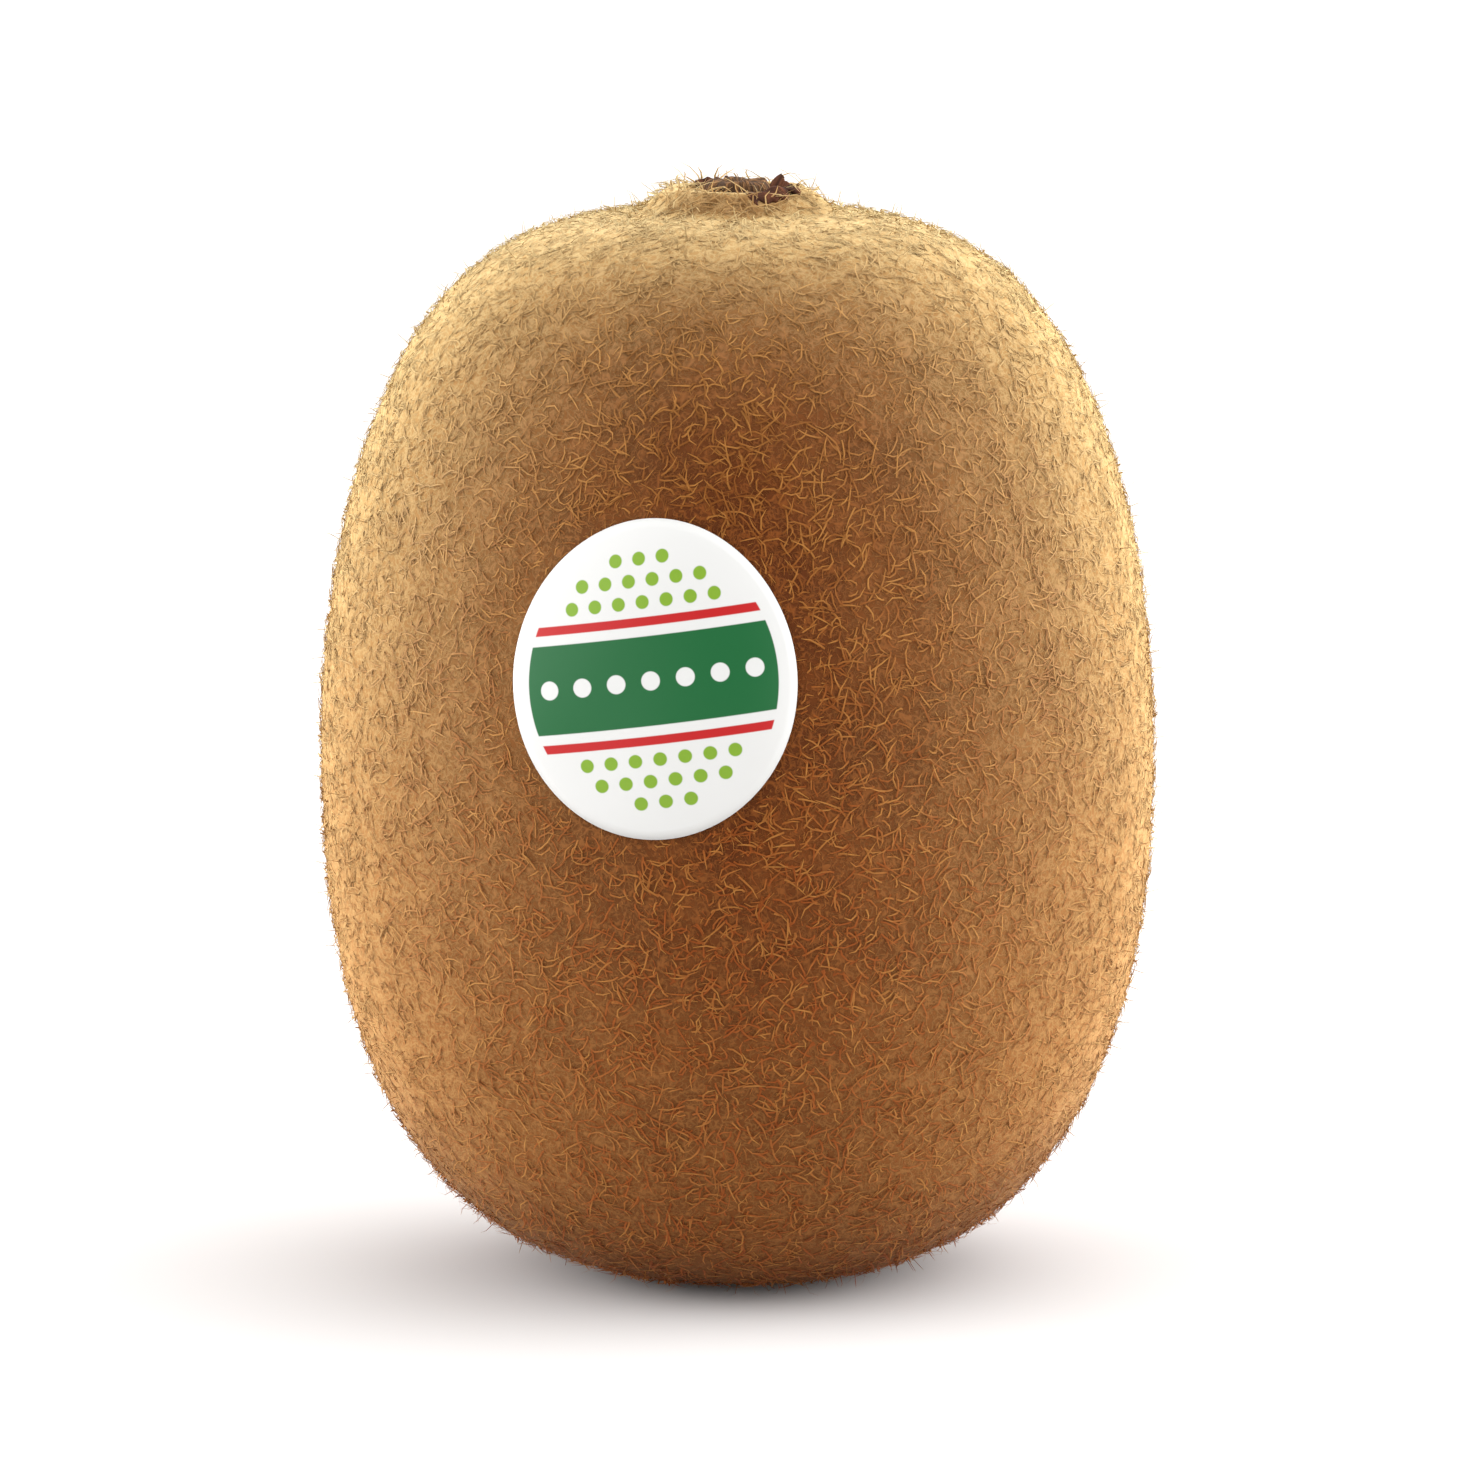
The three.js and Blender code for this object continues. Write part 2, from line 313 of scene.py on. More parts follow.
above_floor = place.maths("MAXIMUM", place, lowest)
moved = start.node("GeometryNodeSetPosition", values={0: moved, "Position": above_floor})
smooth = start.node("GeometryNodeSetShadeSmooth", values={0: moved})
whole = start.node("GeometryNodeRealizeInstances", values={0: smooth})
dressed = start.node("GeometryNodeSetMaterial", values={0: whole, "Material": given["Material"]})
start.node("NodeGroupOutput", values={0: dressed})


def new_material(name, **constants):
    """A Principled material with its constant sockets set, as the node and a loose wire."""
    material = bpy.data.materials.new(name)
    material.use_nodes = True
    shader = material.node_tree.nodes["Principled BSDF"]
    for label, value in constants.items():
        shader.inputs[label.replace("_", " ")].default_value = value
    return material, shader, Wire(material.node_tree)


def feed(shader, label, wire):
    """Links a wire to a socket of the shader."""
    wire.tree.links.new(wire.socket, shader.inputs[label])


def add_painted_sheen(shader, spot, bright, skin_side=None, lit_side=None, clear=0.0):
    """Painted sheen: where the eye looks along the skin, a pale colour is mixed over the fuzz's own
    colour, standing in for the light that its hairs catch there. It is redder low on the fruit, and
    painted weaker near the blossom end as painted shade. Light goes through a hair by the share
    given as clear, so its shadow is that much weaker."""
    loose = Wire(spot.tree)
    level = spot.part("Z")
    upper = level.ramp(0.0, FRUIT_HEIGHT)
    sheen_between_hairs = upper.blend(PAINTED_SHEEN_DEEP, PAINTED_SHEEN_MIDDLE)
    sheen_on_hairs = upper.blend(PAINTED_SHEEN_LOW, PAINTED_SHEEN_HIGH)
    sheen_paint = {"Base Color": bright.blend(sheen_between_hairs, sheen_on_hairs), "Roughness": RIM_ROUGHNESS}
    sheen_paint.update({"Specular IOR Level": 0.0, "Sheen Weight": RIM_SHEEN, "Sheen Tint": RIM_TINT})
    facing = {"Blend": 0.5}
    if skin_side:
        facing["Normal"] = skin_side
        sheen_paint["Normal"] = lit_side
    along_skin = loose.node("ShaderNodeLayerWeight", values=facing, outlet="Facing")
    # Painted shade: the sheen is weaker near the blossom end
    share = along_skin * level.ramp(0.0, PAINTED_UNDERSIDE_SHADE["reach"], PAINTED_UNDERSIDE_SHADE["share"], 1.0)
    # The painted sheen's shader, mixed over the fuzz's own shader by the share
    painted_sheen = loose.node("ShaderNodeBsdfPrincipled", values=sheen_paint)
    body = Wire(spot.tree, shader.outputs["BSDF"])
    mixed = loose.node("ShaderNodeMixShader", values={0: share, 1: body, 2: painted_sheen})
    if clear:
        shadowed = loose.node("ShaderNodeLightPath", outlet="Is Shadow Ray") * clear
        nothing = loose.node("ShaderNodeBsdfTransparent")
        mixed = loose.node("ShaderNodeMixShader", values={0: shadowed, 1: mixed, 2: nothing})
    spot.tree.links.new(mixed.socket, spot.tree.nodes["Material Output"].inputs["Surface"])


# The skin's colour is a tangle of curled fibres, paler than the gaps between them: the lines where
# a noise crosses its middle value curl as the felted hairs do.
skin_felt, shader, loose = new_material("felted skin", Roughness=0.85, Specular_IOR_Level=0.1)
spot = loose.node("ShaderNodeTexCoord", outlet="Object")
threads = None
for number, grain in enumerate(FELT_GRAINS):
    shifted = spot + number * FELT_SHIFT
    line = abs(shifted.noise(grain, 1.0, 0.6) - 0.5).ramp(0.0, FELT_LINE, 1.0, 0.0)
    threads = line if threads is None else threads.maths("MAXIMUM", threads, line)
patches = spot.noise(SKIN_PATCHES["grain"], 3.0)
ground = patches.ramp(SKIN_PATCHES["low"], SKIN_PATCHES["high"]).blend(SKIN_DARK, SKIN_MIDDLE)
feed(shader, "Base Color", (threads * FELT_SHARE).blend(ground, SKIN_PALE))
bump = loose.node("ShaderNodeBump", values=dict(FELT_BUMP, Height=threads))
feed(shader, "Normal", bump)
# Painted sheen over the skin, paler on its threads
add_painted_sheen(shader, spot, threads * 0.6 + 0.2)

skin = grown(
    "skin",
    copied("fruit"),
    relief_tree,
    {
        "Fineness": SKIN_FINENESS,
        "Dimple grain": DIMPLES["grain"],
        "Dimple depth": DIMPLES["depth"],
        "Wrinkle grain": WRINKLES["grain"],
        "Wrinkle depth": WRINKLES["depth"],
        "Material": skin_felt,
    },
)
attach(skin, "root")
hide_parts("fruit")

# The hairs: stiff, golden-brown and curled, rooted all over the skin. A short down lies close under
# a coat of longer hairs that bend over and tangle, and a sparse fringe of fine ones stands up. None
# grows in the stalk's scar or under the fruit, and the sticker's rim presses those beside it flat.
DOWN = {
    "Hairs per mm2": 2.0,
    "Length": 0.66 * MM,
    "Lift": 0.16 * MM,
    "Curl": 0.9,
    "Thickness": 0.12 * MM,
    "Points": 2,
    "Paleness": 0.0,
}
CURLS = {
    "Hairs per mm2": 0.94,
    "Length": 1.5 * MM,
    "Lift": 0.26 * MM,
    "Curl": 2.4,
    "Thickness": 0.16 * MM,
    "Points": 4,
    "Paleness": 0.5,
}
FRINGE = {
    "Hairs per mm2": 0.36,
    "Length": 0.8 * MM,
    "Lift": 0.8 * MM,
    "Curl": 1.4,
    "Thickness": 0.065 * MM,
    "Points": 3,
    "Paleness": 0.6,
}
HAIR_COATS = (
    ("down_1", DOWN, 11),
    ("down_2", DOWN, 12),
    ("curls_1", CURLS, 21),
    ("curls_2", CURLS, 22),
    ("curls_3", CURLS, 23),
    ("fringe", FRINGE, 31),
)
HAIR_SIDES = 3
HAIR_SQUASH = (0.3, 1, 1)
HAIR_TAPER = 0.8
HAIR_SUNK = 0.08 * MM
HAIR_LOWEST = 0.03 * MM
LENGTHS = (0.6, 1.35)
LIFTS = (0.35, 1.5)
FLOW = {"grain": 4 * MM, "strength": 3.2}
TUFTS = {"grain": 2.2 * MM, "shortest": 0.85, "longest": 1.15}
WOBBLE = {"grain": 0.5 * MM, "width": 0.4 * MM}

# Beside the sticker, by shares of its half size: where no hair grows, and how far others give way
STICKER_WIDTH = 17.2 * MM
STICKER_LENGTH = 18.7 * MM
UNDER_STICKER = 0.9
PARTED = {"to": 1.2, "strength": 4.0}
PRESSED = {"to": 1.15, "share": 0.25}

# Round the scar, by the distance from its middle: hairs lean over it, and are longer on the collar
SCAR_DEPTH = 2 * MM
LEANT_IN = {"from": 2 * MM, "to": 4.5 * MM, "strength": 2.5}
COLLAR_LIFT = {"from": 4 * MM, "to": 11 * MM, "share": 1.5}
COLLAR_LENGTH = {"from": 3 * MM, "to": 6 * MM, "share": 1.6}

HAIR_SHADE = {"tone": 0.46, "tip": 0.35, "patch": 0.25, "least": 0.04}
HAIR_PATCH = 5 * MM
SOFT_COAT = {"agreed": 0.35, "share": 0.92}
HAIR_CLEAR = 0.72
HAIR_DARK = (0.090, 0.022, 0.0032, 1)
HAIR_RED = (0.325, 0.056, 0.0060, 1)
HAIR_GOLD = (0.230, 0.077, 0.0112, 1)
HAIR_PALE = (0.460, 0.192, 0.0400, 1)

sticker_low, sticker_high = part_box("label")
sticker_corners = [corner.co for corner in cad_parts["label"].data.vertices]
sticker_middle = sum(sticker_corners, Vector()) / len(sticker_corners)
stump_low, stump_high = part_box("stalk_stump")
scar_middle = (stump_low + stump_high) / 2

hair_tree, given = new_tree(
    "Hairs",
    {
        "Seed": ("Int", 1),
        "Hairs per mm2": ("Float", 1.0),
        "Length": ("Float", 0.001),
        "Lift": ("Float", 0.0004),
        "Curl": ("Float", 2.0),
        "Thickness": ("Float", 0.0001),
        "Points": ("Int", 4),
        "Paleness": ("Float", 0.0),
        "Sticker middle": ("Vector", (0, 0, 0)),
        "Sticker shape": ("Vector", (1, 1, 1)),
        "Scar middle": ("Vector", (0, 0, 0)),
        "Scar clearance": ("Float", 0.0022),
        "Floor clearance": ("Float", 0.0003),
        "Material": ("Material", None),
    },
)
start = given["Base"]
seed = given["Seed"]
scatter = {0: start, "Density": given["Hairs per mm2"] / MM / MM, "Seed": seed}
points = start.node("GeometryNodeDistributePointsOnFaces", values=scatter)
face_normal = Wire(hair_tree, points.socket.node.outputs["Normal"])
place = start.node("GeometryNodeInputPosition")


def drawn(draw, low, high):
    """A random number for each hair; each draw has its own number."""
    values = {2: low, 3: high, 8: seed + draw * 100}
    return start.node("FunctionNodeRandomValue", {"data_type": "FLOAT"}, values, 1)


def kept(geometry, name, value, kind="FLOAT"):
    """Stores a value on the points under a name."""
    values = {0: geometry, "Name": name, "Value": value}
    return start.node("GeometryNodeStoreNamedAttribute", {"data_type": kind}, values)


def stored(name, kind="FLOAT"):
    """Reads a value that was stored on the points."""
    return start.node("GeometryNodeInputNamedAttribute", {"data_type": kind}, {"Name": name})


from_sticker = place - given["Sticker middle"]
beside = (from_sticker * given["Sticker shape"]).length()
from_scar = place - given["Scar middle"]
from_axis = from_scar * (1, 1, 0)
around = from_axis.length()
at_top = from_scar.part("Z") > -SCAR_DEPTH
in_scar = (around < given["Scar clearance"]) * at_top
bare = in_scar + (beside < UNDER_STICKER) + (place.part("Z") < given["Floor clearance"])
rooted = start.node("GeometryNodeDeleteGeometry", {"domain": "POINT"}, {0: points, 1: bare})

any_way = {0: (-1, -1, -1), 1: (1, 1, 1), 8: seed}
wild = start.node("FunctionNodeRandomValue", {"data_type": "FLOAT_VECTOR"}, any_way)
flow = (place.noise(FLOW["grain"], 1.0, outlet=1) - 0.5) * FLOW["strength"]
parted = beside.ramp(1.0, PARTED["to"], PARTED["strength"], 0.0)
inwards = around.ramp(LEANT_IN["from"], LEANT_IN["to"], LEANT_IN["strength"], 0.0) * at_top
lean = wild + flow + from_sticker / from_sticker.length() * parted - from_axis / around * inwards
flat_lean = lean - face_normal * lean.maths("DOT_PRODUCT", lean, face_normal, outlet="Value")
heading = flat_lean.maths("NORMALIZE", flat_lean)

tufts = place.noise(TUFTS["grain"], 2.0).ramp(0.3, 0.7, TUFTS["shortest"], TUFTS["longest"])
longer = around.ramp(COLLAR_LENGTH["from"], COLLAR_LENGTH["to"], COLLAR_LENGTH["share"], 1.0)
raised = around.ramp(COLLAR_LIFT["from"], COLLAR_LIFT["to"], COLLAR_LIFT["share"], 1.0)
pressed = beside.ramp(1.0, PRESSED["to"], PRESSED["share"], 1.0)
rooted = kept(rooted, "root", place, "FLOAT_VECTOR")
rooted = kept(rooted, "out", face_normal, "FLOAT_VECTOR")
rooted = kept(rooted, "heading", heading, "FLOAT_VECTOR")
rooted = kept(rooted, "reach", given["Length"] * drawn(1, *LENGTHS) * tufts * longer)
rooted = kept(rooted, "lift", given["Lift"] * drawn(2, *LIFTS) * pressed * raised)
rooted = kept(rooted, "curl", given["Curl"] * drawn(3, -1.0, 1.0) + 0.01)
rooted = kept(rooted, "tone", drawn(4, 0.0, 1.0) + given["Paleness"])

# Each hair starts as a short line, and is bent into an arc over the skin: the arc's radius is the
# hair's reach over its curl, and it rises from the root and levels out at the tip
line = start.node("GeometryNodeCurvePrimitiveLine", values={"Start": (0, 0, 0), "End": (0, 0, MM)})
line = start.node("GeometryNodeResampleCurve", values={0: line, "Count": given["Points"]})
hairs = start.node("GeometryNodeInstanceOnPoints", values={0: rooted, "Instance": line})
hairs = start.node("GeometryNodeRealizeInstances", values={0: hairs})
along = start.node("GeometryNodeSplineParameter", outlet="Factor")
hairs = kept(hairs, "along", along)
curl = stored("curl")
out = stored("out", "FLOAT_VECTOR")
heading = stored("heading", "FLOAT_VECTOR")
side = out.maths("CROSS_PRODUCT", out, heading)
swing = stored("reach") / curl
turned = curl * along
forwards = swing * turned.maths("SINE", turned)
sideways = swing * (1 - turned.maths("COSINE", turned))
height = stored("lift") * along * (2 - along) - HAIR_SUNK
root = stored("root", "FLOAT_VECTOR")
wobble = (root + out * along * MM).noise(WOBBLE["grain"], 1.0, outlet=1) - 0.5
wobble = wobble * along * WOBBLE["width"]
path = root + out * height + heading * forwards + side * sideways + wobble
hairs = start.node("GeometryNodeSetPosition", values={0: hairs, "Position": path})
tangent = start.node("GeometryNodeInputTangent")
down = tangent * tangent.maths("DOT_PRODUCT", tangent, out, outlet="Value") - out
down = down.maths("NORMALIZE", down)
hairs = start.node("GeometryNodeSetCurveNormal", {"mode": "FREE"}, {0: hairs, "Normal": down})
section_sizes = {"Resolution": HAIR_SIDES, "Radius": given["Thickness"] / 2}
section = start.node("GeometryNodeCurvePrimitiveCircle", values=section_sizes)
section = start.node("GeometryNodeTransform", values={0: section, "Scale": HAIR_SQUASH})
taper = 1 - along * along * HAIR_TAPER
tube = {"Curve": hairs, "Profile Curve": section, "Scale": taper, "Fill Caps": True}
tubes = start.node("GeometryNodeCurveToMesh", values=tube)
lowest = (-1, -1, HAIR_LOWEST)
above_floor = place.maths("MAXIMUM", place, lowest)
tubes = start.node("GeometryNodeSetPosition", values={0: tubes, "Position": above_floor})
tubes = start.node("GeometryNodeSetShadeSmooth", values={0: tubes})
whole = start.node("GeometryNodeRealizeInstances", values={0: tubes})
dressed = start.node("GeometryNodeSetMaterial", values={0: whole, "Material": given["Material"]})
start.node("NodeGroupOutput", values={0: dressed})

# The fuzz is lit as one soft coat: the shading of a hair's outer faces leans to the direction of the
# skin that it grows on. Hairs are darker at the root, and redder low on the fruit.
hair_gold, shader, loose = new_material("golden hair", Roughness=0.55, Specular_IOR_Level=0.1)
tone = loose.node("ShaderNodeAttribute", {"attribute_name": "tone"}, outlet="Fac")
tip = loose.node("ShaderNodeAttribute", {"attribute_name": "along"}, outlet="Fac")
spot = loose.node("ShaderNodeTexCoord", outlet="Object")
patch = (spot.noise(HAIR_PATCH, 3.0) - 0.5) * HAIR_SHADE["patch"]
shade = tone * HAIR_SHADE["tone"] + tip * HAIR_SHADE["tip"] + patch + HAIR_SHADE["least"]
golden = spot.part("Z").ramp(0.0, FRUIT_HEIGHT).blend(HAIR_RED, HAIR_GOLD)
colour = shade.ramp(0.0, 0.6).blend(HAIR_DARK, golden)
feed(shader, "Base Color", shade.ramp(0.5, 1.1).blend(colour, HAIR_PALE))
skin_side = loose.node("ShaderNodeAttribute", {"attribute_name": "out"}, outlet="Vector")
own_side = loose.node("ShaderNodeNewGeometry", outlet="Normal")
flat_side = loose.node("ShaderNodeNewGeometry", outlet="True Normal")
agreed = flat_side.maths("DOT_PRODUCT", flat_side, skin_side, outlet="Value")
soft = agreed.ramp(0.0, SOFT_COAT["agreed"], 0.0, SOFT_COAT["share"])
leaning = own_side * (1 - soft) + skin_side * soft
leaning = leaning.maths("NORMALIZE", leaning)
feed(shader, "Normal", leaning)
# Painted sheen over the hairs, paler on the paler hairs
add_painted_sheen(shader, spot, shade.ramp(0.1, 0.8), skin_side, leaning, HAIR_CLEAR)

for name, coat_sizes, seed_number in HAIR_COATS:
    sizes = dict(coat_sizes, Seed=seed_number, Material=hair_gold)
    sizes["Sticker middle"] = sticker_middle
    sizes["Sticker shape"] = (2 / STICKER_WIDTH, 2 / STICKER_WIDTH, 2 / STICKER_LENGTH)
    sizes["Scar middle"] = scar_middle
    coat = grown(name, skin.data, hair_tree, sizes)
    for spare in ("root", "heading", "reach", "lift", "curl"):
        coat.data.attributes.remove(coat.data.attributes[spare])
    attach(coat, "root")

# The stump of the stalk: a low woody plug in the collar's recess, grey-brown, and split from its
# pith outwards where the stalk broke away. The mesh is the solid's own, made finer.
STUMP_FINENESS = 2
STUMP_CRACKS = {"grain": 0.5 * MM, "depth": 0.12 * MM}
STUMP_RAYS = {"turns": 8.0, "length": 0.7 * MM}
STUMP_BUMP = {"Distance": 0.15 * MM, "Strength": 0.9}
STUMP_DARK = (0.045, 0.022, 0.010, 1)
STUMP_PALE = (0.20, 0.095, 0.035, 1)


def rays(spot, middle, turns, length):
    """Noise in streaks that run outwards from an upright line, from 0 to 1."""
    out = spot - tuple(middle)
    across, back = out.part("X"), out.part("Y")
    turn = across.maths("ARCTAN2", across, back)
    reach = (out * (1, 1, 0)).length()
    streak = out.node("ShaderNodeCombineXYZ", values={"X": turn * turns, "Y": reach / length})
    return streak.noise(1.0, 2.0)


stump_wood, shader, loose = new_material("stump wood", Roughness=0.9, Specular_IOR_Level=0.2)
spot = loose.node("ShaderNodeTexCoord", outlet="Object")
cracks = rays(spot, scar_middle, STUMP_RAYS["turns"], STUMP_RAYS["length"]).ramp(0.38, 0.62)
cracks = cracks * spot.noise(STUMP_CRACKS["grain"], 4.0).ramp(0.3, 0.6, 0.3, 1.0)
feed(shader, "Base Color", cracks.blend(STUMP_DARK, STUMP_PALE))
bump = loose.node("ShaderNodeBump", values=dict(STUMP_BUMP, Height=cracks))
feed(shader, "Normal", bump)

stump = grown(
    "stump",
    copied("stalk_stump"),
    relief_tree,
    {
        "Fineness": STUMP_FINENESS,
        "Wrinkle grain": STUMP_CRACKS["grain"],
        "Wrinkle depth": STUMP_CRACKS["depth"],
        "Material": stump_wood,
    },
)
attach(stump, "root")
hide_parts("stalk_stump")

# The dried sepals: five thin, brittle leaflets round the stump, joined at their feet. They have gone
# dark, crumpled and torn, and lie over the collar's rim. Their sizes are drawn as the solid's are.
SEPALS = (
    {"share": 1.0, "lift": 0.4 * MM},
    {"share": 0.8, "lift": 0.3 * MM},
    {"share": 0.4, "lift": 0.1 * MM},
    {"share": 0.45, "lift": 0.1 * MM},
    {"share": 1.1, "lift": 0.3 * MM},
)
SEPAL_SEED = 41
SEPAL_LENGTH = {"least": 1.1, "drawn": 1.4}
SEPAL_WIDTH = {"least": 3.1, "drawn": 0.7}
SEPAL_TEARS = {"corners": 9, "depth": 0.26, "jags": 0.14}
SEPAL_CURL = 0.15
SEPAL_TURN = {"first": 0.45, "drawn": 0.35}
SEPAL_FOOT = 2.5 * MM
SEPAL_THICKNESS = 0.2 * MM
SEPAL_CLEAR = 0.08 * MM
SEPAL_CRUMPLE = {"grain": 1.1 * MM, "depth": 0.32 * MM}
SEPAL_STEPS = (9, 24)
SEPAL_RAYS = {"turns": 9.0, "length": 3 * MM}
SEPAL_BUMP = {"Distance": 0.08 * MM, "Strength": 0.8}
SEPAL_DARK = (0.030, 0.010, 0.005, 1)
SEPAL_BROWN = (0.125, 0.042, 0.019, 1)

# The fruit without its relief, on which the sepals and the sticker are laid
smooth_fruit = grown("smooth fruit", copied("fruit"), relief_tree, {"Fineness": 2})
fruit_shape = BVHTree.FromPolygons(
    [corner.co.copy() for corner in smooth_fruit.data.vertices],
    [tuple(face.vertices) for face in smooth_fruit.data.polygons],
)
bpy.data.objects.remove(smooth_fruit)


def draws(seed):
    """Numbers from 0 to 1 that are the same on each run."""
    factor, most = 16807, 2147483647
    while True:
        seed = seed * factor % most
        yield seed / most


def ground_under(x, y):
    """Height of the fruit's top under a point."""
    hit, _, _, _ = fruit_shape.ray_cast(Vector((x, y, 0.1)), Vector((0, 0, -1)))
    return hit.z


def leaflet(shape, numbers, number, share_left, lift_most):
    """Adds one sepal's sheet to a bmesh, as much of it as is left and lifted at its tip."""
    length = (SEPAL_LENGTH["least"] + SEPAL_LENGTH["drawn"] * next(numbers)) * share_left * MM
    width = (SEPAL_WIDTH["least"] + SEPAL_WIDTH["drawn"] * next(numbers)) * MM
    lift = lift_most * (0.7 + 0.3 * next(numbers))
    curl = SEPAL_CURL * (next(numbers) - 0.3)
    torn = [1 - SEPAL_TEARS["depth"] * next(numbers) for _ in range(SEPAL_TEARS["corners"])]
    astray = SEPAL_TURN["drawn"] * (next(numbers) - 0.5)
    turn = (number + astray) * math.tau / len(SEPALS) + SEPAL_TURN["first"]
    gaps = SEPAL_TEARS["corners"] - 1
    steps_out, steps_across = SEPAL_STEPS
    rows = []
    for i in range(steps_out + 1):
        row = []
        for j in range(steps_across + 1):
            across = j / steps_across
            edge = across * gaps
            low = min(int(edge), gaps - 1)
            reach = torn[low] + (torn[low + 1] - torn[low]) * (edge - low)
            jag = noise.noise(Vector((across * 11, number * 7.3, 0)))
            share = i / steps_out * (reach + SEPAL_TEARS["jags"] * jag)
            out = SEPAL_FOOT + share * length
            narrowing = 0.76 + 0.24 * math.sin(math.pi * (0.1 + 0.8 * share))
            sideways = (across - 0.5) * width * narrowing
            x = scar_middle.x + out * math.cos(turn) - sideways * math.sin(turn)
            y = scar_middle.y + out * math.sin(turn) + sideways * math.cos(turn)
            z = ground_under(x, y) + SEPAL_CLEAR + lift * share * share + curl * sideways * share
            crumple = noise.noise(Vector((x, y, number * MM)) / SEPAL_CRUMPLE["grain"])
            z += SEPAL_CRUMPLE["depth"] * crumple * (0.35 + share)
            row.append(shape.verts.new((x, y, z)))
        rows.append(row)
    for near, far in zip(rows, rows[1:]):
        for j in range(steps_across):
            shape.faces.new((near[j], far[j], far[j + 1], near[j + 1]))


def thickened(shape, thickness, name, material):
    """Gives the sheets of a bmesh a thickness, and makes them a piece of their own."""
    bmesh.ops.recalc_face_normals(shape, faces=shape.faces)
    bmesh.ops.solidify(shape, geom=shape.faces, thickness=thickness)
    bmesh.ops.recalc_face_normals(shape, faces=shape.faces)
    mesh = bpy.data.meshes.new(name)
    shape.to_mesh(mesh)
    shape.free()
    mesh.materials.append(material)
    mesh.shade_smooth()
    piece = bpy.data.objects.new(name, mesh)
    bpy.context.scene.collection.objects.link(piece)
    return piece


dry_leaf, shader, loose = new_material("dry leaf", Roughness=0.85, Specular_IOR_Level=0.1)
spot = loose.node("ShaderNodeTexCoord", outlet="Object")
veins = rays(spot, scar_middle, SEPAL_RAYS["turns"], SEPAL_RAYS["length"]).ramp(0.3, 0.7)
veins = veins * spot.noise(0.8 * MM, 3.0).ramp(0.3, 0.65)
feed(shader, "Base Color", veins.blend(SEPAL_DARK, SEPAL_BROWN))
bump = loose.node("ShaderNodeBump", values=dict(SEPAL_BUMP, Height=veins))
feed(shader, "Normal", bump)

sheets = bmesh.new()
numbers = draws(SEPAL_SEED)
for number, sepal in enumerate(SEPALS):
    leaflet(sheets, numbers, number, sepal["share"], sepal["lift"])
sepals = thickened(sheets, SEPAL_THICKNESS, "sepals", dry_leaf)
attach(sepals, "root")
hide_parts("dried_sepals")

# The dried styles: the star of threads that the flower left in the hollow of the blossom end, dark
# and brittle. The mesh is the solid's own, made finer and gnarled.
STYLE_FINENESS = 1
STYLE_KNOTS = {"grain": 0.35 * MM, "depth": 0.07 * MM}
STYLE_DARK = (0.025, 0.012, 0.006, 1)
STYLE_BROWN = (0.12, 0.055, 0.022, 1)

dry_thread, shader, loose = new_material("dry thread", Roughness=0.85, Specular_IOR_Level=0.2)
spot = loose.node("ShaderNodeTexCoord", outlet="Object")
feed(shader, "Base Color", spot.noise(0.5 * MM, 3.0).ramp(0.35, 0.65).blend(STYLE_DARK, STYLE_BROWN))

styles = grown(
    "styles",
    copied("dried_styles"),
    relief_tree,
    {
        "Fineness": STYLE_FINENESS,
        "Wrinkle grain": STYLE_KNOTS["grain"],
        "Wrinkle depth": STYLE_KNOTS["depth"],
        "Material": dry_thread,
    },
)
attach(styles, "root")
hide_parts("dried_styles")

# The sticker: a white plastic film, a little taller than wide, glued on the hairs and bent round the
# fruit. It is printed with a green band between two red lines, and with rows of small dots. The
# print's own sizes are millimetres on the flat film.
STICKER_UNDER = 0.42 * MM
STICKER_THICKNESS = 0.07 * MM
STICKER_DROOP = 0.16 * MM
STICKER_WAVES = {"grain": 6 * MM, "depth": 0.10 * MM}
STICKER_RINGS = 16
STICKER_SIDES = 120
STICKER_FRAME = 20.0
PRINT_TURN = math.radians(8)
PRINT_SHARE = 0.87
PRINT_EDGE = 0.04
BAND_HALF = 2.6
LINE = {"middle": 3.45, "half": 0.26}
DOT = {"radius": 0.40, "across": 1.45, "up": 1.25, "from": 3.95, "within": 0.86}
BAND_DOT = {"radius": 0.55, "across": 2.05, "number": 7}
FILM_WHITE = (0.53, 0.53, 0.52, 1)
PRINT_GREEN = (0.002, 0.085, 0.020, 1)
PRINT_LEAF = (0.150, 0.270, 0.016, 1)
PRINT_RED = (0.36, 0.005, 0.006, 1)


def film_place(u, v):
    """A point over the fruit's skin and the skin's direction there, from flat sticker places."""
    level = (sticker_low.z + sticker_high.z) / 2 + v
    to_middle = sticker_middle - scar_middle
    bend = math.hypot(to_middle.x, to_middle.y)
    turn = math.atan2(to_middle.y, to_middle.x) + u / bend
    start = Vector((scar_middle.x, scar_middle.y, level))
    hit, out, _, _ = fruit_shape.ray_cast(start, Vector((math.cos(turn), math.sin(turn), 0)))
    if out.dot(hit - start) < 0:
        out = -out
    return hit, out


def printed(distance, half):
    """1 where the distance is less than the half size of what is printed, 0 beyond."""
    return distance.ramp(half - PRINT_EDGE, half + PRINT_EDGE, 1.0, 0.0)


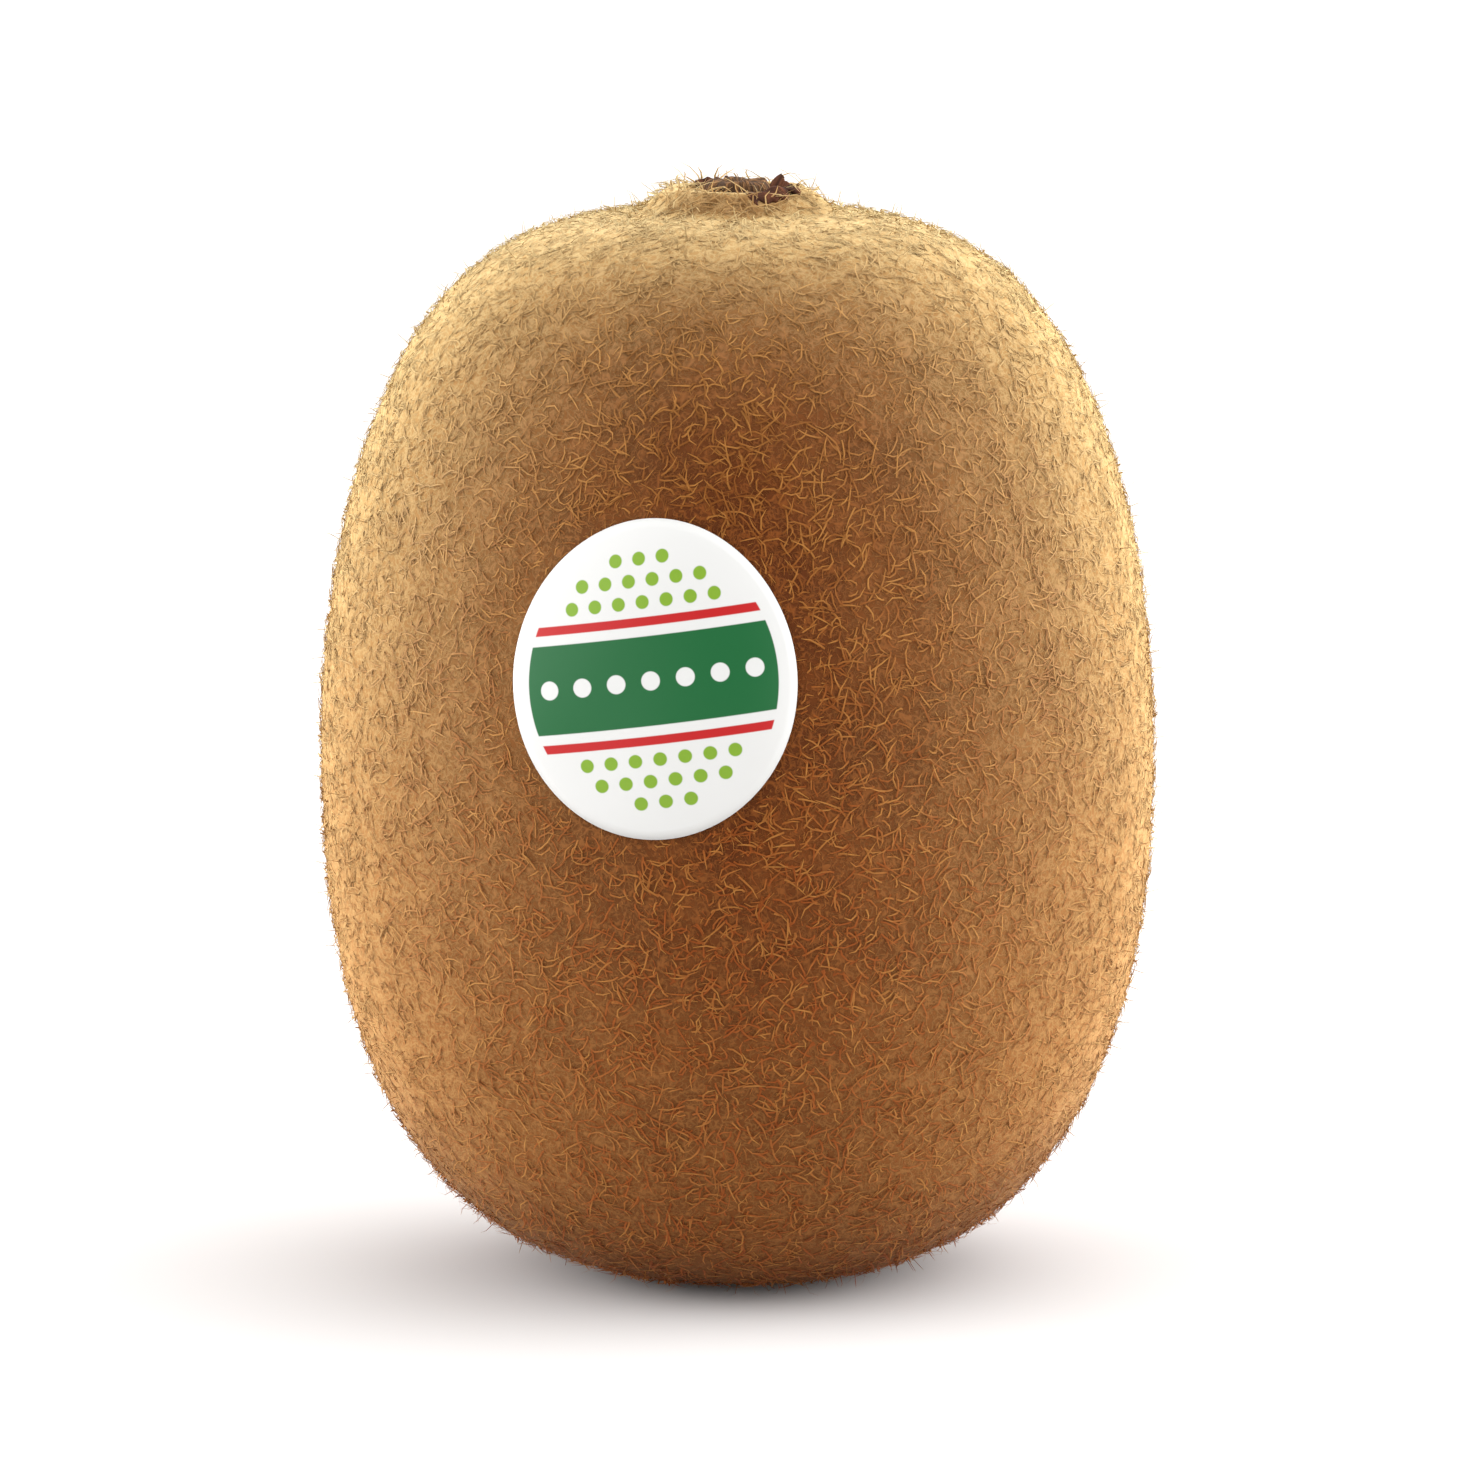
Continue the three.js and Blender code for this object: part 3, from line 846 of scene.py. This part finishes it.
film, shader, loose = new_material("printed film", Roughness=0.38, Specular_IOR_Level=0.3)
from_middle = loose.node("ShaderNodeTexCoord", outlet="UV") - (0.5, 0.5, 0)
spot = from_middle * (STICKER_FRAME, STICKER_FRAME, 0)
flat_x, flat_y = spot.part("X"), spot.part("Y")
print_x = flat_x * math.cos(PRINT_TURN) + flat_y * math.sin(PRINT_TURN)
print_y = flat_y * math.cos(PRINT_TURN) - flat_x * math.sin(PRINT_TURN)
half_shape = (STICKER_WIDTH / 2 / MM * PRINT_SHARE, STICKER_LENGTH / 2 / MM * PRINT_SHARE, 1)
inside = (spot / half_shape).length().ramp(0.995, 1.005, 1.0, 0.0)
up = abs(print_y)
row = (up - DOT["from"]) / DOT["up"]
whole_row = row.maths("FLOOR", row)
column = print_x / DOT["across"] + whole_row * 0.5 + 0.5
whole_column = column.maths("FLOOR", column)
dot_x = (whole_column - whole_row * 0.5) * DOT["across"]
dot_y = (whole_row + 0.5) * DOT["up"] + DOT["from"]
away_x, away_y = print_x - dot_x, up - dot_y
away = away_x * away_x + away_y * away_y
away = away.maths("SQRT", away)
dot_reach = dot_x * dot_x / half_shape[0] ** 2 + dot_y * dot_y / half_shape[1] ** 2
dots = printed(away, DOT["radius"]) * (row > 0.0) * (dot_reach < DOT["within"])
band = printed(up, BAND_HALF)
line = printed(abs(up - LINE["middle"]), LINE["half"])
column = print_x / BAND_DOT["across"] + 0.5
dot_x = (column.maths("FRACT", column) - 0.5) * BAND_DOT["across"]
away = dot_x * dot_x + print_y * print_y
away = away.maths("SQRT", away)
pearls = printed(away, BAND_DOT["radius"])
pearls = pearls * (abs(print_x) < BAND_DOT["across"] * BAND_DOT["number"] / 2)
paint = (dots * inside).blend(FILM_WHITE, PRINT_LEAF)
paint = (line * inside).blend(paint, PRINT_RED)
paint = (band * inside).blend(paint, PRINT_GREEN)
feed(shader, "Base Color", (pearls * inside).blend(paint, FILM_WHITE))

sheet_shape = bmesh.new()
uv_layer = sheet_shape.loops.layers.uv.new("UVMap")
flat_places = {}
rings = []
for i in range(STICKER_RINGS + 1):
    ring = []
    for j in range(STICKER_SIDES if i else 1):
        turn = math.tau * j / STICKER_SIDES
        u = STICKER_WIDTH / 2 * i / STICKER_RINGS * math.cos(turn)
        v = STICKER_LENGTH / 2 * i / STICKER_RINGS * math.sin(turn)
        seat, out = film_place(u, v)
        wave = STICKER_WAVES["depth"] * noise.noise(seat / STICKER_WAVES["grain"])
        under = STICKER_UNDER + wave - STICKER_DROOP * (i / STICKER_RINGS) ** 8
        corner = sheet_shape.verts.new(seat + out * under)
        flat_places[corner] = (u / MM / STICKER_FRAME + 0.5, v / MM / STICKER_FRAME + 0.5)
        ring.append(corner)
    rings.append(ring)
for inner, outer in zip(rings, rings[1:]):
    for j in range(STICKER_SIDES):
        k = (j + 1) % STICKER_SIDES
        if len(inner) == 1:
            sheet_shape.faces.new((inner[0], outer[j], outer[k]))
        else:
            sheet_shape.faces.new((inner[j], outer[j], outer[k], inner[k]))
for face in sheet_shape.faces:
    for loop in face.loops:
        loop[uv_layer].uv = flat_places[loop.vert]
sticker = thickened(sheet_shape, STICKER_THICKNESS, "sticker", film)
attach(sticker, "root")
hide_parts("label")
